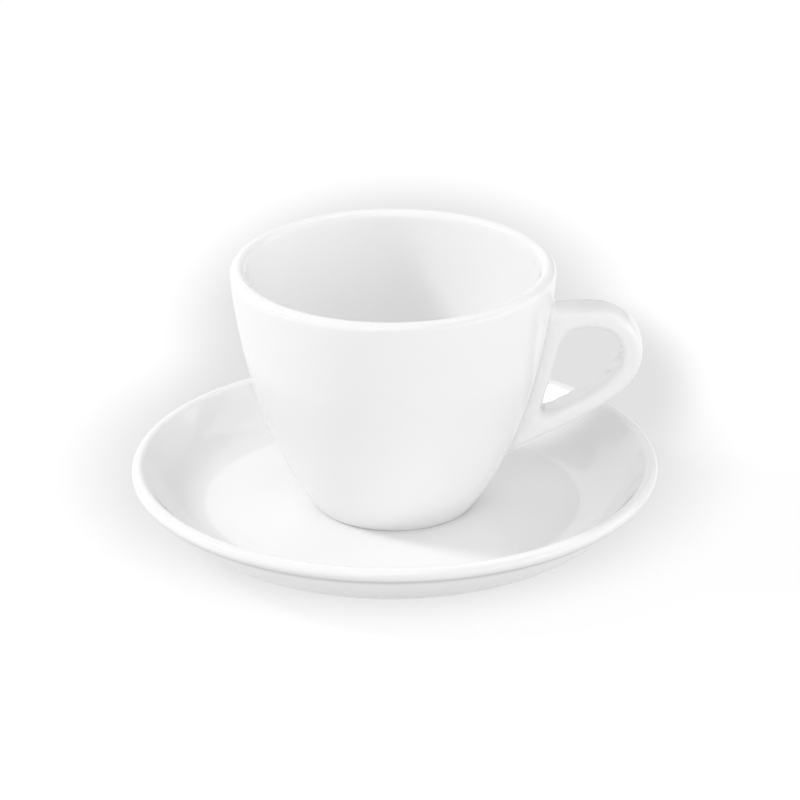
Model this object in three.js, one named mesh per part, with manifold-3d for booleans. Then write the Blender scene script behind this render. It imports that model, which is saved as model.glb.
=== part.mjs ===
// A glazed porcelain cup with a strap handle, standing in the well of its saucer.
// Millimetres, +Z up. The origin is on the common axis, on the table under the saucer.
// The handle points along +X.

import * as THREE from 'three';
import { mergeVertices } from 'three/addons/utils/BufferGeometryUtils.js';
import Module from 'manifold-3d';

// Cup body
const CUP_HEIGHT = 70.0; // foot to top of lip
const CUP_RIM_DIAMETER = 88.4; // outside of the lip
const CUP_FOOT_DIAMETER = 44.9; // outside, where the wall turns into the foot
const CUP_FOOT_EDGE = 1.25; // height of the rounded edge under the wall
const CUP_FOOT_RING_WIDTH = 3.0; // flat ring that the cup stands on
const CUP_FOOT_RECESS = 2.2; // hollow inside that ring
const CUP_FOOT_RECESS_SLOPE = 1.2; // run of the hollow's sloping side
const CUP_WALL_FOOT_ANGLE = 52.7; // rise of the wall at the foot, degrees from the table
const CUP_WALL_FOOT_PULL = 30.7; // how far the wall holds that direction
const CUP_WALL_LIP_FLARE = 3.5; // outward lean of the wall under the lip, degrees
const CUP_WALL_LIP_PULL = 2.0; // how far the wall holds that lean
const CUP_WALL_THICKNESS = 5.2; // at the foot
const CUP_LIP_THICKNESS = 4.2;
const CUP_FLOOR_THICKNESS = 5.0;
const CUP_INSIDE_CORNER = 12.0; // height over which the inside turns from floor to wall

// Cup handle: an oval strap in a loop, with a web that closes the loop along the wall
const STRAP_THICKNESS = 6.1;
const STRAP_WIDTH = 11.5;
const STRAP_ROUNDNESS = 2.4; // exponent of the oval section, 2 is an ellipse
const HANDLE_CROWN_DROP = 14.3; // top of lip to the strap's middle at its crown
const HANDLE_CROWN_OFFSET = 9.8; // wall to the crown
const HANDLE_CROWN_PULL = 8.6;
const HANDLE_ROOT_DROP = 1.2; // crown to the strap's middle at the upper root
const HANDLE_REACH = 24.0; // wall to the strap's middle where it reaches furthest
const HANDLE_REACH_DROP = 10.5; // crown to that point
const HANDLE_REACH_PULL = 6.0;
const HANDLE_FALL = 35.5; // crown to the strap's middle at the lower root
const HANDLE_FALL_PULL = 10.4;
const HANDLE_LOWER_ANGLE = 27.0; // slope of the strap at the lower root, degrees
const HANDLE_LOWER_PULL = 18.0;
const HANDLE_WEB = 3.7; // web outside the wall
const HOLE_UPPER_ROUNDING = 8.0; // blend of strap and web above the middle of the hole
const HOLE_LOWER_ROUNDING = 3.0; // and below it
const ROOT_FILLET = 2.5; // flare of the handle where it meets the wall
const SLIP_JOINT = 0.3; // gap between handle and wall, filled with slip on the real cup

// Saucer
const SAUCER_DIAMETER = 145.0;
const SAUCER_HEIGHT = 19.0; // table to top of lip
const SAUCER_FLOOR_HEIGHT = 7.0; // table to the flat inside
const SAUCER_BORDER_WIDTH = 23.5; // outside edge to the start of the flat inside
const SAUCER_LIP_THICKNESS = 4.0;
const SAUCER_LIP_OVERHANG = 1.4; // outside edge to the wall under the lip
const SAUCER_INSIDE_PULL = 11.0; // how far the inside holds the direction of the floor
const SAUCER_RIM_ANGLE = 52.0; // rise of the wall at the lip, degrees
const SAUCER_RIM_PULL_INSIDE = 7.0; // how far the wall holds that rise, inside
const SAUCER_RIM_PULL_UNDER = 15.0; // and underneath
const SAUCER_FOOT_DIAMETER = 100.0;
const SAUCER_FOOT_RING_WIDTH = 3.2;
const SAUCER_FOOT_RING_HEIGHT = 1.2; // table to the start of the underside
const SAUCER_FOOT_PULL = 3.6; // how far the underside holds its slope at the foot ring
const SAUCER_FOOT_ANGLE = 13.0; // that slope, degrees
const SAUCER_FOOT_RECESS = 2.4; // hollow inside the foot ring
const SAUCER_FOOT_RECESS_SLOPE = 1.5;
const WELL_DEPTH = 0.5; // shallow seat for the cup's foot
const WELL_CLEARANCE = 0.9; // between the cup's foot ring and the edge of the seat
const WELL_EDGE_WIDTH = 1.5; // run of the soft edge of the seat

// Facets
const CUP_SEGMENTS = 64;
const SAUCER_SEGMENTS = 72;
const WALL_STEPS = 12;
const LIP_STEPS = 8;
const CORNER_STEPS = 5;
const EDGE_STEPS = 3;
const HOLE_STEPS = 60;
const SECTION_STEPS = 20;
const STRAP_STEPS = 24;
const WALK_STEPS = 60;

const GLAZE_COLOUR = 0xf4f4f2;
const GLAZE_ROUGHNESS = 0.12;

const wasm = await Module();
wasm.setup();

const radians = THREE.MathUtils.degToRad;
const lerp = THREE.MathUtils.lerp;
const seatHeight = SAUCER_FLOOR_HEIGHT - WELL_DEPTH;

function direction(degrees) {
  return new THREE.Vector2(Math.cos(radians(degrees)), Math.sin(radians(degrees)));
}

function along(point, way, distance) {
  return point.clone().addScaledVector(way, distance);
}

// A profile of (radius, height) points, turned about the Z axis.
function turned(profile, segments) {
  return new THREE.LatheGeometry(profile, segments).rotateX(Math.PI / 2);
}

function solid(geometry) {
  const bare = geometry.clone();
  bare.deleteAttribute('normal');
  bare.deleteAttribute('uv');
  const merged = mergeVertices(bare);
  const corners = merged.index.array;
  const triangles = [];
  for (let i = 0; i < corners.length; i += 3) {
    const [a, b, c] = corners.slice(i, i + 3);
    if (a !== b && b !== c && c !== a) triangles.push(a, b, c);
  }
  return new wasm.Manifold(new wasm.Mesh({
    numProp: 3,
    vertProperties: new Float32Array(merged.attributes.position.array),
    triVerts: new Uint32Array(triangles),
  }));
}

function geometryOf(manifold) {
  const mesh = manifold.getMesh();
  const geometry = new THREE.BufferGeometry();
  geometry.setAttribute('position', new THREE.BufferAttribute(mesh.vertProperties, 3));
  geometry.setIndex(new THREE.BufferAttribute(mesh.triVerts, 1));
  geometry.computeVertexNormals();
  return geometry;
}

function glazed(name, geometry) {
  const material = new THREE.MeshStandardMaterial({
    color: GLAZE_COLOUR,
    roughness: GLAZE_ROUGHNESS,
    metalness: 0,
  });
  const mesh = new THREE.Mesh(geometry, material);
  mesh.name = name;
  return mesh;
}

// Cup body: one curve for the outside of the wall, and the inside set off from it

const wallFoot = new THREE.Vector2(CUP_FOOT_DIAMETER / 2, CUP_FOOT_EDGE);
const footWay = direction(CUP_WALL_FOOT_ANGLE);
const footCorner = along(wallFoot, footWay, -wallFoot.y / footWay.y);
const footRingRadius = footCorner.x - wallFoot.distanceTo(footCorner);
const lipRise = CUP_LIP_THICKNESS / 2 * (1 + Math.sin(radians(CUP_WALL_LIP_FLARE)));
const wallLip = new THREE.Vector2(CUP_RIM_DIAMETER / 2, CUP_HEIGHT - lipRise);
const cupWall = new THREE.CubicBezierCurve(
  wallFoot,
  along(wallFoot, footWay, CUP_WALL_FOOT_PULL),
  along(wallLip, direction(90 - CUP_WALL_LIP_FLARE), -CUP_WALL_LIP_PULL),
  wallLip,
);

// Points of the wall's curve, moved off it by a distance given at the foot and at the lip.
// A distance over zero goes into the cup.
function wallOffset(atFoot, atLip) {
  const points = [];
  for (let step = 0; step <= WALL_STEPS; step += 1) {
    const t = step / WALL_STEPS;
    const tangent = cupWall.getTangent(t);
    const inward = new THREE.Vector2(-tangent.y, tangent.x);
    points.push(along(cupWall.getPoint(t), inward, lerp(atFoot, atLip, t)));
  }
  return points;
}

// The foot: recess, flat ring and the rounded edge that runs into the wall.
function cupFootProfile() {
  const ringInner = footRingRadius - CUP_FOOT_RING_WIDTH;
  const edge = new THREE.QuadraticBezierCurve(new THREE.Vector2(footRingRadius, 0), footCorner, wallFoot);
  return [
    new THREE.Vector2(0, CUP_FOOT_RECESS),
    new THREE.Vector2(ringInner - CUP_FOOT_RECESS_SLOPE, CUP_FOOT_RECESS),
    new THREE.Vector2(ringInner, 0),
    ...edge.getPoints(EDGE_STEPS).slice(0, -1),
  ];
}

// The lip: half a circle from the outside of the wall over to the inside.
function cupLipProfile(inner) {
  const lipWay = wallLip.clone().sub(inner).normalize();
  const middle = wallLip.clone().add(inner).multiplyScalar(1 / 2);
  const start = lipWay.angle();
  const arc = new THREE.EllipseCurve(
    middle.x, middle.y, CUP_LIP_THICKNESS / 2, CUP_LIP_THICKNESS / 2, start, start + Math.PI,
  );
  return arc.getPoints(LIP_STEPS).slice(1, -1);
}

// The inside: down the wall, round the corner and across the floor to the axis.
function cupInsideProfile(innerWall) {
  const floor = CUP_FOOT_RECESS + CUP_FLOOR_THICKNESS;
  const wall = innerWall.filter((point) => point.y > floor + CUP_INSIDE_CORNER);
  const [cornerTop, above] = wall;
  const tangent = above.clone().sub(cornerTop).normalize();
  const corner = along(cornerTop, tangent, (floor - cornerTop.y) / tangent.y);
  const flat = Math.max(corner.x - corner.distanceTo(cornerTop), corner.x / 2);
  const bend = new THREE.QuadraticBezierCurve(cornerTop, corner, new THREE.Vector2(flat, floor));
  return [
    ...wall.slice(1).reverse(),
    ...bend.getPoints(CORNER_STEPS),
    new THREE.Vector2(0, floor),
  ];
}

function cupBody() {
  const innerWall = wallOffset(CUP_WALL_THICKNESS, CUP_LIP_THICKNESS);
  const profile = [
    ...cupFootProfile(),
    ...wallOffset(0, 0),
    ...cupLipProfile(innerWall.at(-1)),
    ...cupInsideProfile(innerWall),
  ];
  return glazed('cup_body', turned(profile, CUP_SEGMENTS));
}

// Cup handle: distances in the plane y = 0, as (radius, height) points, give its two outlines

const outerWall = wallOffset(0, 0);

// The wall's radius and lean at a height, from its points.
function wallAt(height) {
  const last = outerWall.length - 2;
  const found = outerWall.findIndex((point) => point.y > height) - 1;
  const index = height > outerWall[last].y ? last : Math.max(found, 0);
  const run = outerWall[index + 1].clone().sub(outerWall[index]);
  const radius = outerWall[index].x + run.x * (height - outerWall[index].y) / run.y;
  return { radius, normal: new THREE.Vector2(run.y, -run.x).normalize() };
}

function wallDistance(radius, height) {
  const wall = wallAt(height);
  return (radius - wall.radius) * wall.normal.x;
}

// The middle line of the strap: root to crown, crown to its furthest reach, and down to the root.
// Both ends run into the wall.
function strapPath() {
  const crownHeight = CUP_HEIGHT - HANDLE_CROWN_DROP;
  const reachHeight = crownHeight - HANDLE_REACH_DROP;
  const upperHeight = crownHeight - HANDLE_ROOT_DROP;
  const lowerHeight = crownHeight - HANDLE_FALL;
  const onWall = (height, offset) => new THREE.Vector2(wallAt(height).radius + offset, height);
  const crown = onWall(crownHeight, HANDLE_CROWN_OFFSET);
  const reach = onWall(reachHeight, HANDLE_REACH);
  const upperRoot = onWall(upperHeight, -CUP_LIP_THICKNESS);
  const lowerRoot = onWall(lowerHeight, 0);
  const lowerWay = direction(HANDLE_LOWER_ANGLE);
  const path = new THREE.CurvePath();
  path.add(new THREE.QuadraticBezierCurve(upperRoot, onWall(crownHeight, 0), crown));
  path.add(new THREE.CubicBezierCurve(
    crown,
    new THREE.Vector2(crown.x + HANDLE_CROWN_PULL, crown.y),
    new THREE.Vector2(reach.x, reach.y + HANDLE_REACH_PULL),
    reach,
  ));
  path.add(new THREE.CubicBezierCurve(
    reach,
    new THREE.Vector2(reach.x, reach.y - HANDLE_FALL_PULL),
    along(lowerRoot, lowerWay, HANDLE_LOWER_PULL),
    lowerRoot,
  ));
  path.add(new THREE.LineCurve(lowerRoot, along(lowerRoot, lowerWay, -CUP_WALL_THICKNESS)));
  const holeLeft = wallAt(reachHeight).radius + HANDLE_WEB;
  const holeRight = reach.x - STRAP_THICKNESS / 2;
  const middle = new THREE.Vector2((holeLeft + holeRight) / 2, reachHeight);
  return { points: path.getPoints(STRAP_STEPS), middle, upperHeight, lowerHeight };
}

const strap = strapPath();

// Distance from a point to the strap's middle line, taken piece by piece.
function strapDistance(point) {
  let least = Infinity;
  for (let i = 1; i < strap.points.length; i += 1) {
    const start = strap.points[i - 1];
    const run = strap.points[i].clone().sub(start);
    const part = point.clone().sub(start).dot(run) / run.lengthSq();
    const foot = along(start, run, THREE.MathUtils.clamp(part, 0, 1));
    least = Math.min(least, foot.distanceTo(point));
  }
  return least;
}

// The lesser of two distances, rounded off where they are closer than the blend.
function blendedLeast(a, b, blend) {
  const near = Math.max(blend - Math.abs(a - b), 0) / blend;
  return Math.min(a, b) - near * near * blend / 4;
}

// How far a point inside the hole is from the strap and the web around it.
function holeDistance(point) {
  const blend = point.y > strap.middle.y ? HOLE_UPPER_ROUNDING : HOLE_LOWER_ROUNDING;
  const toStrap = strapDistance(point) - STRAP_THICKNESS / 2;
  return blendedLeast(toStrap, wallDistance(point.x, point.y) - HANDLE_WEB, blend);
}

// How far a point outside the loop is from the strap and the web, both cut off inside the wall.
function loopDistance(point) {
  const toWall = wallDistance(point.x, point.y);
  const toStrap = strapDistance(point) - STRAP_THICKNESS / 2;
  const toWeb = Math.max(toWall - HANDLE_WEB, point.y - strap.upperHeight, strap.lowerHeight - point.y);
  return Math.max(Math.min(toStrap, toWeb), -CUP_LIP_THICKNESS / 2 - toWall);
}

// Walks along a ray from the middle of the hole, outwards to the hole's edge,
// and back from far outside to the loop's outer edge.
function ringSection(ray) {
  const at = (distance) => along(strap.middle, ray, distance);
  let hole = 0;
  let loop = 2 * (HANDLE_REACH + STRAP_THICKNESS);
  for (let step = 0; step < WALK_STEPS; step += 1) {
    hole += holeDistance(at(hole));
    loop -= loopDistance(at(loop));
  }
  return { hole, loop };
}

// The flare that rounds the handle into the wall: a quarter circle over the fillet's radius.
function flare(distance) {
  const left = ROOT_FILLET - THREE.MathUtils.clamp(distance, 0, ROOT_FILLET);
  return ROOT_FILLET - Math.sqrt(ROOT_FILLET ** 2 - left ** 2);
}

// One point of the oval section on a ray, flared along the wall where it comes close to it.
function loopPoint(ray, section, turn) {
  const power = 2 / STRAP_ROUNDNESS;
  const round = (value) => Math.sign(value) * Math.abs(value) ** power;
  const half = (section.loop - section.hole) / 2;
  const flat = along(strap.middle, ray, section.hole + half + half * round(Math.cos(turn)));
  const point = new THREE.Vector3(flat.x, STRAP_WIDTH / 2 * round(Math.sin(turn)), flat.y);
  const radius = Math.hypot(point.x, point.y);
  const wall = wallAt(point.z).normal;
  const wallNormal = new THREE.Vector3(wall.x * point.x / radius, wall.x * point.y / radius, wall.y);
  const outward = new THREE.Vector3(
    ray.x * Math.cos(turn) * STRAP_WIDTH,
    Math.sin(turn) * STRAP_THICKNESS,
    ray.y * Math.cos(turn) * STRAP_WIDTH,
  ).normalize();
  const sideways = outward.addScaledVector(wallNormal, -outward.dot(wallNormal)).normalize();
  return point.addScaledVector(sideways, flare(wallDistance(radius, point.z)));
}

// The loop: oval sections on rays round the middle of the hole, joined into a closed ring.
function loopGeometry() {
  const positions = [];
  const triangles = [];
  for (let i = 0; i < HOLE_STEPS; i += 1) {
    const ray = direction(360 * i / HOLE_STEPS);
    const section = ringSection(ray);
    for (let j = 0; j < SECTION_STEPS; j += 1) {
      const point = loopPoint(ray, section, 2 * Math.PI * j / SECTION_STEPS);
      positions.push(point.x, point.y, point.z);
      const nextRing = (i + 1) % HOLE_STEPS;
      const nextPoint = (j + 1) % SECTION_STEPS;
      const a = i * SECTION_STEPS + j;
      const b = i * SECTION_STEPS + nextPoint;
      const c = nextRing * SECTION_STEPS + nextPoint;
      const d = nextRing * SECTION_STEPS + j;
      triangles.push(a, b, d, b, c, d);
    }
  }
  const geometry = new THREE.BufferGeometry();
  geometry.setAttribute('position', new THREE.Float32BufferAttribute(positions, 3));
  geometry.setIndex(triangles);
  return geometry;
}

// The handle: the loop, cut back to the outside of the wall and the slip that joins them.
function cupHandle() {
  const grown = wallOffset(-SLIP_JOINT, -SLIP_JOINT);
  const profile = [
    new THREE.Vector2(0, grown[0].y),
    ...grown,
    new THREE.Vector2(0, grown.at(-1).y),
  ];
  const handle = solid(loopGeometry()).subtract(solid(turned(profile, CUP_SEGMENTS)));
  return glazed('cup_handle', geometryOf(handle));
}

// Saucer

// The underside: recess, foot ring, and the curve from there to the wall under the lip.
function saucerUnderProfile(wallTop) {
  const ringOuter = SAUCER_FOOT_DIAMETER / 2;
  const ringInner = ringOuter - SAUCER_FOOT_RING_WIDTH;
  const start = new THREE.Vector2(ringOuter, SAUCER_FOOT_RING_HEIGHT);
  const under = new THREE.CubicBezierCurve(
    start,
    along(start, direction(SAUCER_FOOT_ANGLE), SAUCER_FOOT_PULL),
    along(wallTop, direction(SAUCER_RIM_ANGLE), -SAUCER_RIM_PULL_UNDER),
    wallTop,
  );
  return [
    new THREE.Vector2(0, SAUCER_FOOT_RECESS),
    new THREE.Vector2(ringInner - SAUCER_FOOT_RECESS_SLOPE, SAUCER_FOOT_RECESS),
    new THREE.Vector2(ringInner, 0),
    new THREE.Vector2(ringOuter - SAUCER_FOOT_RING_HEIGHT / 2, 0),
    new THREE.Vector2(ringOuter, SAUCER_FOOT_RING_HEIGHT / 2),
    ...under.getPoints(WALL_STEPS),
  ];
}

// The inside: from the lip down to the flat, and over the soft edge into the well.
function saucerInsideProfile(lipInner) {
  const flatEdge = new THREE.Vector2(SAUCER_DIAMETER / 2 - SAUCER_BORDER_WIDTH, SAUCER_FLOOR_HEIGHT);
  const inside = new THREE.CubicBezierCurve(
    lipInner,
    along(lipInner, direction(SAUCER_RIM_ANGLE), -SAUCER_RIM_PULL_INSIDE),
    new THREE.Vector2(flatEdge.x + SAUCER_INSIDE_PULL, flatEdge.y),
    flatEdge,
  );
  const well = footRingRadius + WELL_CLEARANCE;
  const wellEdge = new THREE.CubicBezierCurve(
    new THREE.Vector2(well + WELL_EDGE_WIDTH, SAUCER_FLOOR_HEIGHT),
    new THREE.Vector2(well + WELL_EDGE_WIDTH / 2, SAUCER_FLOOR_HEIGHT),
    new THREE.Vector2(well + WELL_EDGE_WIDTH / 2, seatHeight),
    new THREE.Vector2(well, seatHeight),
  );
  return [
    ...inside.getPoints(WALL_STEPS),
    ...wellEdge.getPoints(EDGE_STEPS),
    new THREE.Vector2(0, seatHeight),
  ];
}

function saucer() {
  const half = SAUCER_LIP_THICKNESS / 2;
  const lip = new THREE.Vector2(SAUCER_DIAMETER / 2 - half, SAUCER_HEIGHT - half);
  const lipStart = radians(-SAUCER_RIM_ANGLE);
  const lipEnd = radians(90 + SAUCER_RIM_ANGLE);
  const lipArc = new THREE.EllipseCurve(lip.x, lip.y, half, half, lipStart, lipEnd);
  const wallTop = along(lip, direction(-SAUCER_RIM_ANGLE), half);
  wallTop.x = SAUCER_DIAMETER / 2 - SAUCER_LIP_OVERHANG;
  const lipPoints = lipArc.getPoints(LIP_STEPS);
  const profile = [
    ...saucerUnderProfile(wallTop),
    ...lipPoints.slice(1),
    ...saucerInsideProfile(lipPoints.at(-1)).slice(1),
  ];
  return glazed('saucer', turned(profile, SAUCER_SEGMENTS));
}

// Assembly: the cup stands on the floor of the saucer's well

const cup = new THREE.Group();
cup.position.z = seatHeight;
cup.add(cupBody(), cupHandle());

const cupAndSaucer = new THREE.Group();
cupAndSaucer.add(saucer(), cup);

export default cupAndSaucer;
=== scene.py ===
import math

import bpy
import numpy as np
from mathutils import Matrix


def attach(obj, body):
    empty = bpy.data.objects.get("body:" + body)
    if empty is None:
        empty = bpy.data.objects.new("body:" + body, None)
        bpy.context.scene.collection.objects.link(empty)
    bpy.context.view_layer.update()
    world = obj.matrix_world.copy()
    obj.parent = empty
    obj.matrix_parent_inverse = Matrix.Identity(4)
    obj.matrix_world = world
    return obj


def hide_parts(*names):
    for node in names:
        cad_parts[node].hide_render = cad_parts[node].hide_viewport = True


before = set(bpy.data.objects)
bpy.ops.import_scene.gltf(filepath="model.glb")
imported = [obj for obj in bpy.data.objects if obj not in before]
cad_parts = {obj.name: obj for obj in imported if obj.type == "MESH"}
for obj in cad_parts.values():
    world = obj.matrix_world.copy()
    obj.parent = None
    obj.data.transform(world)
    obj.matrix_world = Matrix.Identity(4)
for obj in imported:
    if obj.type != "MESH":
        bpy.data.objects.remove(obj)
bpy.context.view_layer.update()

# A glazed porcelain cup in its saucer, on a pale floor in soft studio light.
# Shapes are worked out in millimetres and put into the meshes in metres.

MM = 0.001

# Cup body
CUP_HEIGHT = 70.0
CUP_RIM_RADIUS = 44.2
CUP_FOOT_RADIUS = 22.45
CUP_FOOT_EDGE = 1.25
CUP_FOOT_RING_WIDTH = 3.0
CUP_FOOT_RECESS = 2.2
CUP_FOOT_RECESS_SLOPE = 1.2
CUP_RECESS_ROUNDING = 1.0
CUP_RING_ROUNDING = 0.6
CUP_WALL_FOOT_ANGLE = 52.7
CUP_WALL_FOOT_PULL = 30.7
CUP_WALL_LIP_FLARE = 3.5
CUP_WALL_LIP_PULL = 2.0
CUP_WALL_THICKNESS = 5.2
CUP_LIP_THICKNESS = 4.2
CUP_FLOOR_THICKNESS = 5.0
CUP_INSIDE_CORNER = 16.2

# Cup handle
STRAP_THICKNESS = 6.1
STRAP_WIDTH = 11.5
STRAP_ROUNDNESS = 3.3
STRAP_THINNING = 0.1
HANDLE_CROWN_DROP = 14.3
HANDLE_CROWN_OFFSET = 9.8
HANDLE_CROWN_PULL = 8.6
HANDLE_ROOT_DROP = 1.2
HANDLE_REACH = 24.0
HANDLE_REACH_DROP = 10.5
HANDLE_REACH_PULL = 6.0
HANDLE_FALL = 35.5
HANDLE_FALL_PULL = 10.4
HANDLE_LOWER_ANGLE = 27.0
HANDLE_LOWER_PULL = 18.0
HANDLE_WEB = 3.7
HOLE_UPPER_ROUNDING = 8.0
HOLE_LOWER_ROUNDING = 3.0
ROOT_FILLET = 2.5
# Width and strength of the painted shade along the handle's seam with the wall
ROOT_SEAM = 0.35
ROOT_SEAM_SHADE_SHARE = 0.125

# Saucer
SAUCER_RADIUS = 72.5
SAUCER_HEIGHT = 19.0
SAUCER_FLOOR_HEIGHT = 7.0
SAUCER_BORDER_WIDTH = 23.5
SAUCER_LIP_THICKNESS = 4.0
SAUCER_LIP_OVERHANG = 1.4
SAUCER_INSIDE_PULL = 11.0
SAUCER_RIM_ANGLE = 52.0
SAUCER_RIM_PULL_INSIDE = 7.0
SAUCER_RIM_PULL_UNDER = 15.0
SAUCER_FOOT_RADIUS = 50.0
SAUCER_FOOT_RING_WIDTH = 3.2
SAUCER_FOOT_RING_HEIGHT = 1.2
SAUCER_FOOT_PULL = 3.6
SAUCER_FOOT_ANGLE = 13.0
SAUCER_FOOT_RECESS = 2.4
SAUCER_FOOT_RECESS_SLOPE = 1.5
SAUCER_RECESS_ROUNDING = 1.2
SAUCER_RING_ROUNDING = 0.6
WELL_DEPTH = 0.5
WELL_CLEARANCE = 0.9
WELL_EDGE_WIDTH = 0.75

SEAT_HEIGHT = SAUCER_FLOOR_HEIGHT - WELL_DEPTH

# Glaze, with lengths in millimetres and turns in radians
# Hollows are greyed, partly as glaze pooling and partly as painted shade
POOL_SHADE_REACH = 1.2
POOL_SHADE_RADIUS = 2.0
POOL_SHADE_SHARE = 0.4
# Creases are darkened with painted shade
CREASE_REACH = 1.3
CREASE_LEAST_TURN = 0.25
CREASE_FULL_TURN = 0.4
CREASE_SHADE_SHARE = 0.75
BARE_HEIGHT = 0.35
BARE_EDGE = 0.25
BODY_TONES = (0.922, 0.922, 0.919), (0.94, 0.94, 0.94)
# Grey for hollows: glaze pooling and painted shade
POOL_SHADE_TONE = (0.78, 0.785, 0.785)
# Dark painted shade for creases
CREASE_SHADE_TONE = (0.38, 0.38, 0.38)
CLAY_TONES = (0.74, 0.72, 0.69), (0.82, 0.81, 0.79)
GLAZE_ROUGHNESS = 0.05
GLAZE_ROUGHNESS_CHANGE = 0.03
CLAY_ROUGHNESS = 0.75
GLAZE_IOR = 1.5
WAVE_HEIGHT = 0.06
PEEL_HEIGHT = 0.004
GRAIN_HEIGHT = 0.03

# Noise, as patches to the metre and how many finer layers it has
CLOUDS = 45.0, 3.0
WAVES = 70.0, 1.0
PEEL = 420.0, 1.0
GRAIN = 2500.0, 2.0

# Meshes
CUP_FACETS = 288
SAUCER_FACETS = 320
HANDLE_RINGS = 400
HANDLE_FACETS = 128
OUTLINE_STEPS = 80
POINT_GAP = 0.2


def way(degrees):
    """The unit vector (cosine, sine) of an angle."""
    return np.array([math.cos(math.radians(degrees)), math.sin(math.radians(degrees))])


def bezier(count, *controls):
    """A Bezier curve: its control points, each weighted by its Bernstein polynomial in t from 0 to 1."""
    t = np.linspace(0, 1, count)[:, None]
    order = len(controls) - 1
    return sum(
        math.comb(order, k) * (1 - t) ** (order - k) * t**k * np.asarray(point)
        for k, point in enumerate(controls)
    )


def arc(count, middle, radius, start, end):
    """A circle's arc: middle plus radius times (cosine, sine) of an angle from start to end, in degrees."""
    turn = np.radians(np.linspace(start, end, count))[:, None]
    return np.asarray(middle) + radius * np.hstack([np.cos(turn), np.sin(turn)])


def line(count, start, end):
    """A straight line: start plus t times the way to end, with t from 0 to 1."""
    return bezier(count, start, end)


def rounded(count, radius, before, corner, after):
    """A corner rounded by a quadratic Bezier curve that leaves and meets its two sides at the radius."""
    before, corner, after = map(np.asarray, (before, corner, after))
    start = corner + (before - corner) * radius / np.linalg.norm(before - corner)
    end = corner + (after - corner) * radius / np.linalg.norm(after - corner)
    return bezier(count, start, corner, end)


def surface(name, points, faces, marks):
    """A smooth mesh object from points in millimetres, faces by index, and named values from 0 to 1."""
    mesh = bpy.data.meshes.new(name)
    mesh.from_pydata((points * MM).tolist(), [], faces)
    mesh.polygons.foreach_set("use_smooth", np.ones(len(mesh.polygons), dtype=bool))
    for mark, values in marks.items():
        layer = mesh.attributes.new(mark, "FLOAT", "POINT")
        layer.data.foreach_set("value", np.ascontiguousarray(values, dtype=np.float32))
    mesh.update()
    piece = bpy.data.objects.new(name, mesh)
    bpy.context.scene.collection.objects.link(piece)
    return piece


def grid_faces(rows, columns, wrap_rows):
    """Quads of a grid whose columns wrap round: each joins a point to the next row and the next column."""
    row = np.arange(rows if wrap_rows else rows - 1)[:, None]
    column = np.arange(columns)[None, :]
    next_row = (row + 1) % rows
    next_column = (column + 1) % columns
    corners = [row * columns + column, row * columns + next_column,
               next_row * columns + next_column, next_row * columns + column]
    return np.stack(corners, axis=-1).reshape(-1, 4)


def hollow_turns(profile):
    """How far a profile turns inward at each point, in radians, and the length that belongs to the point."""
    run = np.diff(profile, axis=0)
    heading = np.unwrap(np.arctan2(run[:, 1], run[:, 0]))
    length = np.linalg.norm(run, axis=1)
    turn = np.concatenate([[0], -np.diff(heading), [0]])
    return turn, np.concatenate([length[:1], (length[1:] + length[:-1]) / 2, length[-1:]])


def pool_and_shade_marks(profile):
    """Pools, for glaze pooling and painted shade in hollows: the inward turn per millimetre, averaged with
    weights exp(-(distance / reach)^2). Creases, for painted shade: the greatest turn of a corner times
    exp(-(distance / reach)^2)."""
    turn, length = hollow_turns(profile)
    apart = np.linalg.norm(profile[:, None] - profile[None], axis=-1)
    weight = np.exp(-((apart / POOL_SHADE_REACH) ** 2))
    pool_and_shade = (weight * turn).sum(axis=1) / (weight * length).sum(axis=1) * POOL_SHADE_RADIUS
    corner = np.clip((turn - CREASE_LEAST_TURN) / CREASE_FULL_TURN, 0, 1)
    crease_shade = (corner * np.exp(-((apart / CREASE_REACH) ** 2))).max(axis=1)
    return {"pool_and_shade": np.clip(pool_and_shade, 0, 1), "crease_shade": crease_shade}


def turned(name, profile, facets, bare_height):
    """A profile of (radius, height) turned about Z: x = r cos u, y = r sin u, z = h, closed by a pole at
    each end. Hollows are greyed, partly as glaze pooling and partly as painted shade, creases get a dark
    painted shade, and the lowest part of the foot is left bare."""
    inner = profile[1:-1]
    rings = pool_and_shade_marks(profile)
    rings["bare"] = np.clip((bare_height - profile[:, 1]) / BARE_EDGE, 0, 1)
    marks = {mark: np.concatenate([np.repeat(ring[1:-1], facets), ring[[0, -1]]])
             for mark, ring in rings.items()}
    u = np.linspace(0, 2 * math.pi, facets, endpoint=False)
    radius, height = inner[:, :1], inner[:, 1:]
    grid = np.stack([radius * np.cos(u), radius * np.sin(u), height + 0 * u], axis=-1).reshape(-1, 3)
    poles = [[0, 0, profile[0, 1]], [0, 0, profile[-1, 1]]]
    quads = grid_faces(len(inner), facets, wrap_rows=False)
    first = np.arange(facets)
    after = (first + 1) % facets
    last = (len(inner) - 1) * facets
    bottom = np.stack([np.full(facets, len(grid)), after, first], axis=-1)
    top = np.stack([np.full(facets, len(grid) + 1), last + first, last + after], axis=-1)
    faces = quads.tolist() + bottom.tolist() + top.tolist()
    return surface(name, np.vstack([grid, poles]), faces, marks)


# Cup body

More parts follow.
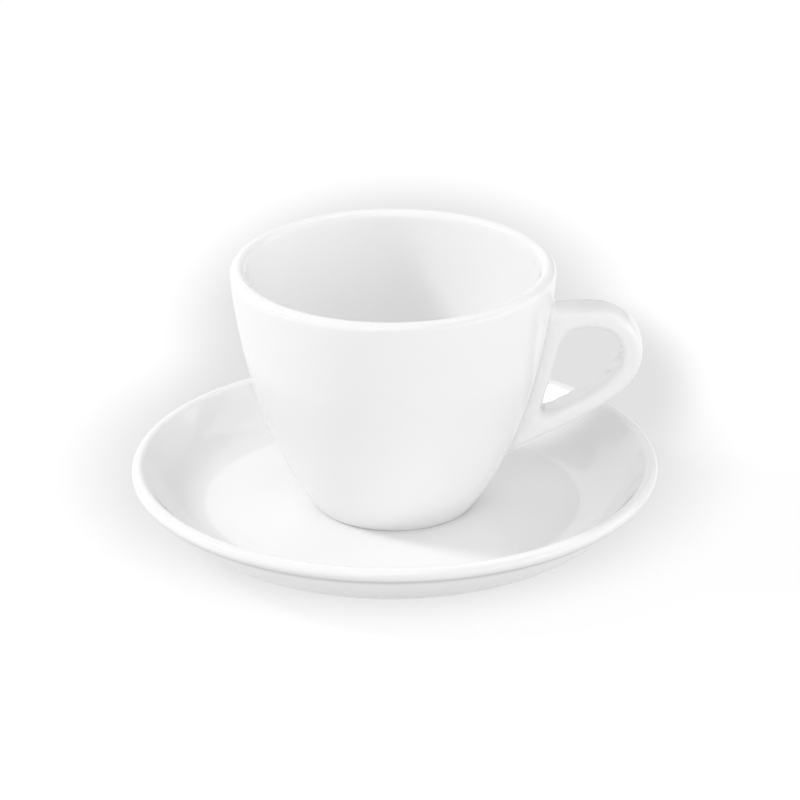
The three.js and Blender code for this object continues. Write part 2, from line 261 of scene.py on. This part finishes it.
wall_foot = np.array([CUP_FOOT_RADIUS, CUP_FOOT_EDGE])
foot_way = way(CUP_WALL_FOOT_ANGLE)
foot_corner = wall_foot - foot_way * wall_foot[1] / foot_way[1]
foot_ring = foot_corner[0] - np.linalg.norm(wall_foot - foot_corner)
lip_rise = CUP_LIP_THICKNESS / 2 * (1 + math.sin(math.radians(CUP_WALL_LIP_FLARE)))
wall_lip = np.array([CUP_RIM_RADIUS, CUP_HEIGHT - lip_rise])
wall_controls = (
    wall_foot,
    wall_foot + CUP_WALL_FOOT_PULL * foot_way,
    wall_lip - CUP_WALL_LIP_PULL * way(90 - CUP_WALL_LIP_FLARE),
    wall_lip,
)


def wall_curve(count):
    """The outside of the wall as a cubic Bezier curve, with unit tangents from its derivative's points."""
    points = bezier(count, *wall_controls)
    tangents = bezier(count, *np.diff(wall_controls, axis=0))
    return points, tangents / np.linalg.norm(tangents, axis=1)[:, None]


def cup_profile():
    """The cup's section: recess, foot ring, wall, half-round lip, inside set off from the wall, and floor."""
    ring_inner = foot_ring - CUP_FOOT_RING_WIDTH
    recess = np.array([ring_inner - CUP_FOOT_RECESS_SLOPE, CUP_FOOT_RECESS])
    ring = np.array([ring_inner, 0])
    middle = np.array([0, CUP_FOOT_RECESS])
    foot = [
        line(12, middle, recess - [CUP_RECESS_ROUNDING + POINT_GAP, 0]),
        rounded(8, CUP_RECESS_ROUNDING, middle, recess, ring),
        rounded(8, CUP_RING_ROUNDING, recess, ring, [foot_ring, 0]),
        line(6, [ring_inner + CUP_RING_ROUNDING + POINT_GAP, 0], [foot_ring - POINT_GAP, 0]),
        bezier(12, [foot_ring, 0], foot_corner, wall_foot)[:-1],
    ]
    outside, tangents = wall_curve(72)
    t = np.linspace(0, 1, len(outside))[:, None]
    inward = np.stack([-tangents[:, 1], tangents[:, 0]], axis=1)
    inside = outside + inward * (CUP_WALL_THICKNESS + (CUP_LIP_THICKNESS - CUP_WALL_THICKNESS) * t)
    lip = arc(26, (outside[-1] + inside[-1]) / 2, CUP_LIP_THICKNESS / 2,
              -CUP_WALL_LIP_FLARE, 180 - CUP_WALL_LIP_FLARE)[1:-1]
    floor = CUP_FOOT_RECESS + CUP_FLOOR_THICKNESS
    upper = inside[inside[:, 1] > floor + CUP_INSIDE_CORNER]
    side = (upper[1] - upper[0]) / np.linalg.norm(upper[1] - upper[0])
    corner = upper[0] + side * (floor - upper[0][1]) / side[1]
    flat = np.array([corner[0] / 2, floor])
    bend = bezier(36, upper[0], corner, flat)
    cup_floor = line(10, flat, [0, floor])[1:]
    profile = np.vstack([*foot, outside, lip, upper[1:][::-1], bend, cup_floor])
    return profile + [0, SEAT_HEIGHT]


# Cup handle, worked out in the plane of the handle as (radius, height) from the cup's foot

wall_points, wall_tangents = wall_curve(160)


def wall_radius(height):
    """The wall's outside radius at a height, read off its curve."""
    return np.interp(height, wall_points[:, 1], wall_points[:, 0])


def wall_distance(radius, height):
    """How far a point is from the wall: its distance along the radius, times the cosine of the wall's lean."""
    lean = np.interp(height, wall_points[:, 1], wall_tangents[:, 1])
    return (radius - wall_radius(height)) * lean


crown_height = CUP_HEIGHT - HANDLE_CROWN_DROP
reach_height = crown_height - HANDLE_REACH_DROP
upper_height = crown_height - HANDLE_ROOT_DROP
lower_height = crown_height - HANDLE_FALL


def on_wall(height, offset):
    """A point at a height and an offset from the wall's radius there."""
    return np.array([wall_radius(height) + offset, height])


def strap_middle():
    """The strap's middle line: Bezier curves from the upper root by crown and reach to the lower root."""
    crown = on_wall(crown_height, HANDLE_CROWN_OFFSET)
    reach = on_wall(reach_height, HANDLE_REACH)
    lower = on_wall(lower_height, 0)
    lower_way = way(HANDLE_LOWER_ANGLE)
    return np.vstack([
        bezier(30, on_wall(upper_height, -CUP_LIP_THICKNESS), on_wall(crown_height, 0), crown)[:-1],
        bezier(40, crown, crown + [HANDLE_CROWN_PULL, 0], reach + [0, HANDLE_REACH_PULL], reach)[:-1],
        bezier(60, reach, reach - [0, HANDLE_FALL_PULL], lower + HANDLE_LOWER_PULL * lower_way, lower),
        [lower - CUP_WALL_THICKNESS * lower_way],
    ])


strap = strap_middle()


def strap_distance(points):
    """The least distance from each point to the pieces of the strap's middle line."""
    start, run = strap[:-1], np.diff(strap, axis=0)
    part = ((points[:, None] - start) * run).sum(-1) / (run**2).sum(-1)
    nearest = start + np.clip(part, 0, 1)[..., None] * run
    return np.linalg.norm(points[:, None] - nearest, axis=-1).min(axis=1)


def strap_half(points):
    """Half the strap's thickness: full at the reach, less by the thinning from the crown's height on."""
    away = np.clip(np.abs(points[:, 1] - reach_height) / HANDLE_REACH_DROP, 0, 1)
    return STRAP_THICKNESS / 2 * (1 - STRAP_THINNING * away)


def hole_distance(points):
    """From inside the hole: the lesser of the ways to strap and web, less a parabola where both are close."""
    blend = np.where(points[:, 1] > reach_height, HOLE_UPPER_ROUNDING, HOLE_LOWER_ROUNDING)
    to_strap = strap_distance(points) - strap_half(points)
    to_web = wall_distance(points[:, 0], points[:, 1]) - HANDLE_WEB
    near = np.maximum(blend - np.abs(to_strap - to_web), 0) / blend
    return np.minimum(to_strap, to_web) - near**2 * blend / 4


def loop_distance(points):
    """From outside the loop: the lesser of the ways to strap and web, both cut off inside the wall."""
    to_wall = wall_distance(points[:, 0], points[:, 1])
    to_strap = strap_distance(points) - strap_half(points)
    to_web = np.maximum.reduce([
        to_wall - HANDLE_WEB, points[:, 1] - upper_height, lower_height - points[:, 1],
    ])
    return np.maximum(np.minimum(to_strap, to_web), -CUP_LIP_THICKNESS / 2 - to_wall)


def handle_points():
    """Oval sections on rays from the middle of the hole: along each ray from the hole's edge to the loop's,
    middle + half cos(v)^(2/n), and across it half the width times sin(v)^(2/n); flared near the wall. Both
    edges are found by walking along the ray, each step as long as the distance that is left."""
    hole_left = wall_radius(reach_height) + HANDLE_WEB
    hole_right = wall_radius(reach_height) + HANDLE_REACH - STRAP_THICKNESS / 2
    middle = np.array([(hole_left + hole_right) / 2, reach_height])
    u = np.linspace(0, 2 * math.pi, HANDLE_RINGS, endpoint=False)
    rays = np.stack([np.cos(u), np.sin(u)], axis=1)
    hole = np.zeros(HANDLE_RINGS)
    loop = np.full(HANDLE_RINGS, 2 * (HANDLE_REACH + STRAP_THICKNESS))
    for _ in range(OUTLINE_STEPS):
        hole += hole_distance(middle + rays * hole[:, None])
        loop -= loop_distance(middle + rays * loop[:, None])
    v = np.linspace(0, 2 * math.pi, HANDLE_FACETS, endpoint=False)
    power = 2 / STRAP_ROUNDNESS
    cosine = np.sign(np.cos(v)) * np.abs(np.cos(v)) ** power
    sine = np.sign(np.sin(v)) * np.abs(np.sin(v)) ** power
    along = ((hole + loop)[:, None] + (loop - hole)[:, None] * cosine) / 2
    flat = middle + rays[:, None] * along[..., None]
    across = np.broadcast_to(STRAP_WIDTH / 2 * sine, along.shape)
    points = np.stack([flat[..., 0], across, flat[..., 1]], axis=-1)
    outward = np.stack([
        rays[:, :1] * np.cos(v) * STRAP_WIDTH,
        np.broadcast_to(np.sin(v) * STRAP_THICKNESS, along.shape),
        rays[:, 1:] * np.cos(v) * STRAP_WIDTH,
    ], axis=-1)
    return flared(points, outward)


def flared(points, outward):
    """Points near the wall, moved along it by (root of fillet - root of distance) squared: a parabola."""
    radius = np.hypot(points[..., 0], points[..., 1])
    height = points[..., 2]
    rise = np.interp(height, wall_points[:, 1], wall_tangents[:, 1])
    run = np.interp(height, wall_points[:, 1], wall_tangents[:, 0])
    normal = np.stack([rise * points[..., 0] / radius, rise * points[..., 1] / radius, -run], axis=-1)
    sideways = outward - (outward * normal).sum(-1, keepdims=True) * normal
    sideways /= np.linalg.norm(sideways, axis=-1, keepdims=True)
    distance = np.clip(wall_distance(radius, height), 0, ROOT_FILLET)
    flare = (math.sqrt(ROOT_FILLET) - np.sqrt(distance)) ** 2
    return points + sideways * flare[..., None]


def cup_handle():
    """The ring of handle sections, joined into a closed loop."""
    points = handle_points().reshape(-1, 3)
    faces = grid_faces(HANDLE_RINGS, HANDLE_FACETS, wrap_rows=True)
    distance = np.maximum(wall_distance(np.hypot(points[:, 0], points[:, 1]), points[:, 2]), 0)
    # Greyer glaze and painted shade over the root's fillet, and a dark painted shade along its seam with the wall
    marks = {
        "pool_and_shade": np.clip(1 - distance / ROOT_FILLET, 0, 1) ** 2,
        "crease_shade": np.exp(-((distance / ROOT_SEAM) ** 2)) * ROOT_SEAM_SHADE_SHARE,
        "bare": np.zeros(len(points)),
    }
    return surface("strap_handle", points + [0, 0, SEAT_HEIGHT], faces.tolist(), marks)


# Saucer

def saucer_profile():
    """The saucer's section: recess, foot ring, underside, rounded lip, dished inside, and the well of the cup."""
    ring_inner = SAUCER_FOOT_RADIUS - SAUCER_FOOT_RING_WIDTH
    recess = np.array([ring_inner - SAUCER_FOOT_RECESS_SLOPE, SAUCER_FOOT_RECESS])
    ring = np.array([ring_inner, 0])
    middle = np.array([0, SAUCER_FOOT_RECESS])
    half = SAUCER_LIP_THICKNESS / 2
    lip_middle = np.array([SAUCER_RADIUS - half, SAUCER_HEIGHT - half])
    lip = arc(40, lip_middle, half, -SAUCER_RIM_ANGLE, 90 + SAUCER_RIM_ANGLE)
    wall_top = np.array([SAUCER_RADIUS - SAUCER_LIP_OVERHANG, lip[0, 1]])
    start = np.array([SAUCER_FOOT_RADIUS, SAUCER_FOOT_RING_HEIGHT])
    ring_edge = np.array([SAUCER_FOOT_RADIUS, 0])
    ring_end = SAUCER_RING_ROUNDING + POINT_GAP
    foot = [
        line(20, middle, recess - [SAUCER_RECESS_ROUNDING + POINT_GAP, 0]),
        rounded(8, SAUCER_RECESS_ROUNDING, middle, recess, ring),
        rounded(8, SAUCER_RING_ROUNDING, recess, ring, ring_edge),
        line(6, ring + [ring_end, 0], ring_edge - [ring_end, 0]),
        rounded(8, SAUCER_RING_ROUNDING, ring, ring_edge, start),
    ]
    under = bezier(60, start, start + SAUCER_FOOT_PULL * way(SAUCER_FOOT_ANGLE),
                   wall_top - SAUCER_RIM_PULL_UNDER * way(SAUCER_RIM_ANGLE), wall_top)
    flat_edge = np.array([SAUCER_RADIUS - SAUCER_BORDER_WIDTH, SAUCER_FLOOR_HEIGHT])
    inside = bezier(60, lip[-1], lip[-1] - SAUCER_RIM_PULL_INSIDE * way(SAUCER_RIM_ANGLE),
                    flat_edge + [SAUCER_INSIDE_PULL, 0], flat_edge)
    well = foot_ring + WELL_CLEARANCE
    edge = np.array([well + WELL_EDGE_WIDTH, SAUCER_FLOOR_HEIGHT])
    edge_middle = well + WELL_EDGE_WIDTH / 2
    well_edge = bezier(14, edge, [edge_middle, SAUCER_FLOOR_HEIGHT],
                       [edge_middle, SEAT_HEIGHT], [well, SEAT_HEIGHT])
    return np.vstack([
        *foot, under[1:], lip[1:], inside[1:],
        line(12, flat_edge, edge)[1:-1], well_edge, line(10, [well, SEAT_HEIGHT], [0, SEAT_HEIGHT])[1:],
    ])


# Finishes

class Value:
    """A socket's value; arithmetic on it adds Math nodes."""

    def __init__(self, finish, socket):
        self.finish = finish
        self.socket = socket

    def math(self, operation, first, second):
        return self.finish.node("ShaderNodeMath", {"operation": operation}, {0: first, 1: second})

    def __add__(self, other):
        return self.math("ADD", self, other)

    def __radd__(self, other):
        return self.math("ADD", other, self)

    def __sub__(self, other):
        return self.math("SUBTRACT", self, other)

    def __rsub__(self, other):
        return self.math("SUBTRACT", other, self)

    def __mul__(self, other):
        return self.math("MULTIPLY", self, other)

    def __rmul__(self, other):
        return self.math("MULTIPLY", other, self)

    def __pow__(self, other):
        return self.math("POWER", self, other)

    def clamped(self):
        return self.finish.node("ShaderNodeClamp", {}, {"Value": self, "Min": 0.0, "Max": 1.0})


class Finish:
    """A node tree, filled by one method that makes a node, sets it up and feeds its sockets."""

    def __init__(self, tree):
        self.tree = tree
        tree.nodes.clear()

    def node(self, kind, settings, inputs, output=0):
        made = self.tree.nodes.new(kind)
        for name, value in settings.items():
            setattr(made, name, value)
        for name, value in inputs.items():
            if isinstance(value, Value):
                self.tree.links.new(value.socket, made.inputs[name])
            else:
                made.inputs[name].default_value = value
        return Value(self, made.outputs[output]) if made.outputs else made

    def mix(self, factor, first, second):
        """Two colours, mixed by a factor from 0 to 1."""
        first, second = (c if isinstance(c, Value) else (*c, 1) for c in (first, second))
        sockets = {"Factor": factor, "A": first, "B": second}
        return self.node("ShaderNodeMix", {"data_type": "RGBA"}, sockets, "Result")

    def noise(self, place, scale, detail):
        """Noise from 0 to 1 at a place."""
        return self.node("ShaderNodeTexNoise", {}, {"Vector": place, "Scale": scale, "Detail": detail})

    def mark(self, name):
        """A value that is kept at the points of the mesh."""
        return self.node("ShaderNodeAttribute", {"attribute_name": name}, {}, "Fac")


def glaze(name):
    """White porcelain under clear glaze: faint clouds of tone, greyer in hollows, partly as glaze pooling and
    partly as painted shade, darker in creases as painted shade, a gently wavy surface with a fine peel, and
    matt bare clay on the foot."""
    material = bpy.data.materials.new(name)
    material.use_nodes = True
    finish = Finish(material.node_tree)
    place = finish.node("ShaderNodeTexCoord", {}, {}, "Object")
    pool_and_shade, crease_shade, bare = (finish.mark(mark) for mark in ("pool_and_shade", "crease_shade", "bare"))
    clouds, grain, waves, peel = (finish.noise(place, *noise) for noise in (CLOUDS, GRAIN, WAVES, PEEL))
    body = finish.mix(clouds, *BODY_TONES)
    # Hollows greyed with glaze pooling and painted shade, creases darkened with painted shade
    pooled_and_shaded = finish.mix(pool_and_shade * POOL_SHADE_SHARE, body, POOL_SHADE_TONE)
    # Painted shade in creases
    glazed_with_shade = finish.mix(crease_shade * CREASE_SHADE_SHARE, pooled_and_shaded, CREASE_SHADE_TONE)
    clay = finish.mix(grain, *CLAY_TONES)
    colour = finish.mix(bare, glazed_with_shade, clay)
    gloss = GLAZE_ROUGHNESS + GLAZE_ROUGHNESS_CHANGE * clouds
    roughness = gloss + bare * (CLAY_ROUGHNESS - gloss)
    height = WAVE_HEIGHT * waves + PEEL_HEIGHT * peel + bare * GRAIN_HEIGHT * grain
    bump = finish.node("ShaderNodeBump", {}, {"Strength": 1.0, "Distance": MM, "Height": height})
    shader = finish.node("ShaderNodeBsdfPrincipled", {}, {
        "Base Color": colour, "Roughness": roughness, "Normal": bump, "IOR": GLAZE_IOR,
    })
    finish.node("ShaderNodeOutputMaterial", {}, {"Surface": shader})
    return material


# Pieces

cup_glaze = glaze("cup_glaze")
saucer_glaze = glaze("saucer_glaze")

cup = turned("cup_bowl", cup_profile(), CUP_FACETS, SEAT_HEIGHT + BARE_HEIGHT)
handle = cup_handle()
saucer = turned("saucer_dish", saucer_profile(), SAUCER_FACETS, BARE_HEIGHT)

for piece, body, node, finish in (
    (cup, "cup", "cup_body", cup_glaze),
    (handle, "cup", "cup_handle", cup_glaze),
    (saucer, "saucer", "saucer", saucer_glaze),
):
    piece.data.materials.append(finish)
    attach(piece, body)
    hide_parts(node)


# Studio, in metres

FLOOR_HALF = 4.0
FLOOR_TONE = 0.76
FLOOR_SHADE = 0.15
FLOOR_WHITE = 0.867
# Depth, ovals and fall of the painted shadow about the cup and saucer
FLOOR_PAINTED_SHADOW = 0.25
PAINTED_SHADOW_OVALS = (
    # middle x, middle y, reach x, reach y
    (0.0, 0.042, 0.106, 0.116),
    (0.0, 0.148, 0.08, 0.14),
    (0.05, 0.1, 0.045, 0.08),
)
PAINTED_SHADOW_FALL = 0.45
SKY_STRENGTH = 0.538
LAMP_AIM = np.array([0, 0, 0.03])
LAMPS = (
    # name, azimuth, elevation, distance, width, height, watts
    ("key", 176, 38, 1.2, 0.2, 0.2, 5.5),
    ("front", 270, 12, 1.9, 1.8, 0.85, 0.85),
    ("front_top", 270, 42, 1.9, 1.2, 0.8, 4.05),
    ("front_left", 238, 18, 1.2, 1.0, 0.6, 1.15),
    ("front_right", 314, 14, 1.2, 0.9, 0.5, 1.7),
    ("right", 0, 14, 1.2, 1.4, 0.7, 2.95),
    ("right_top", 20, 55, 1.2, 0.8, 0.8, 1.55),
    ("back", 112, 16, 1.2, 0.9, 0.6, 0.85),
)
CAMERA_PLACE = (0.018854, -1.080178, 0.501027)
CAMERA_PAN = 0.0015 - math.radians(1.0)
CAMERA_PITCH = 0.4061
CAMERA_ROLL = -0.0071
CAMERA_LENS = 193.03
CAMERA_SENSOR = 36


def floor():
    """A wide flat floor: pale and matt, and white to the camera and in reflections, but for the shadow and a
    painted shadow, a soft grey tone about the cup and saucer. The painted shadow is full within ovals, where
    the root of ((x / a)^2 + (y / b)^2) is 1 - fall, and gone where it is 1."""
    corners = np.array([[-1, -1, 0], [1, -1, 0], [1, 1, 0], [-1, 1, 0]])
    points = corners * FLOOR_HALF / MM
    piece = surface("studio_floor", points, [[0, 1, 2, 3]], {})
    material = bpy.data.materials.new("floor_white")
    material.use_nodes = True
    finish = Finish(material.node_tree)
    camera, glossy, through = (finish.node("ShaderNodeLightPath", {}, {}, f"Is {kind} Ray")
                               for kind in ("Camera", "Glossy", "Transmission"))
    seen = (camera + glossy + through).clamped()
    place = finish.node("ShaderNodeTexCoord", {}, {}, "Object")
    x, y = (finish.node("ShaderNodeSeparateXYZ", {}, {"Vector": place}, axis) for axis in ("X", "Y"))
    white = 1
    # Painted shadow: soft grey ovals about the cup and saucer, seen by the camera and in reflections
    for middle_x, middle_y, reach_x, reach_y in PAINTED_SHADOW_OVALS:
        oval = (((x - middle_x) * (1 / reach_x)) ** 2 + ((y - middle_y) * (1 / reach_y)) ** 2) ** 0.5
        part = ((1 - oval) * (1 / PAINTED_SHADOW_FALL)).clamped()
        white = white * (1 - part**2 * (3 - 2 * part))
    tone = 1 - seen * FLOOR_PAINTED_SHADOW * (1 - white)
    matt = finish.node("ShaderNodeBsdfPrincipled", {}, {
        "Base Color": tone * (FLOOR_TONE - seen * (FLOOR_TONE - FLOOR_SHADE)),
        "Roughness": 1.0, "Specular IOR Level": 0.0,
        "Emission Color": tone * seen, "Emission Strength": FLOOR_WHITE,
    })
    finish.node("ShaderNodeOutputMaterial", {}, {"Surface": matt})
    piece.data.materials.append(material)


def toward(azimuth, elevation):
    """The unit vector of an azimuth from +X and an elevation, in degrees: (cos a cos e, sin a cos e, sin e)."""
    (cosine, sine), (level, rise) = way(azimuth), way(elevation)
    return np.array([cosine * level, sine * level, rise])


def stand(name, data, side, upward, back, place):
    """An object that holds a lamp or a camera: its own axes point to its side, upward and back."""
    holder = bpy.data.objects.new(name, data)
    bpy.context.scene.collection.objects.link(holder)
    rows = [[*row, spot] for row, spot in zip(np.stack([side, upward, back], axis=1), place)]
    holder.matrix_world = Matrix(rows + [[0, 0, 0, 1]])
    return holder


def softbox(name, azimuth, elevation, distance, width, height, watts):
    """A rectangular lamp that faces the point that all lamps are aimed at, from a way and a distance."""
    lamp = bpy.data.lights.new(name, "AREA")
    lamp.shape = "RECTANGLE"
    lamp.size = width
    lamp.size_y = height
    lamp.energy = watts
    back = toward(azimuth, elevation)
    side = np.cross([0, 0, 1], back)
    side /= np.linalg.norm(side)
    stand(name, lamp, side, np.cross(back, side), back, back * distance + LAMP_AIM)


def photo_camera():
    """The photograph's camera: a long lens, looking down at the cup and turned a little about its own axis."""
    forward = np.array([math.sin(CAMERA_PAN) * math.cos(CAMERA_PITCH),
                        math.cos(CAMERA_PAN) * math.cos(CAMERA_PITCH), -math.sin(CAMERA_PITCH)])
    level = np.array([math.cos(CAMERA_PAN), -math.sin(CAMERA_PAN), 0])
    upright = np.cross(level, forward)
    side = math.cos(CAMERA_ROLL) * level + math.sin(CAMERA_ROLL) * upright
    upward = math.cos(CAMERA_ROLL) * upright - math.sin(CAMERA_ROLL) * level
    lens = bpy.data.cameras.new("photo_camera")
    lens.lens = CAMERA_LENS
    lens.sensor_width = CAMERA_SENSOR
    bpy.context.scene.camera = stand("photo_camera", lens, side, upward, -forward, CAMERA_PLACE)


def sky():
    """Even light from all round."""
    world = bpy.data.worlds.new("studio_sky")
    world.use_nodes = True
    finish = Finish(world.node_tree)
    light = finish.node("ShaderNodeBackground", {}, {"Color": (1, 1, 1, 1), "Strength": SKY_STRENGTH})
    finish.node("ShaderNodeOutputWorld", {}, {"Surface": light})
    bpy.context.scene.world = world


floor()
sky()
for lamp in LAMPS:
    softbox(*lamp)
photo_camera()
bpy.context.scene.view_settings.view_transform = "Standard"
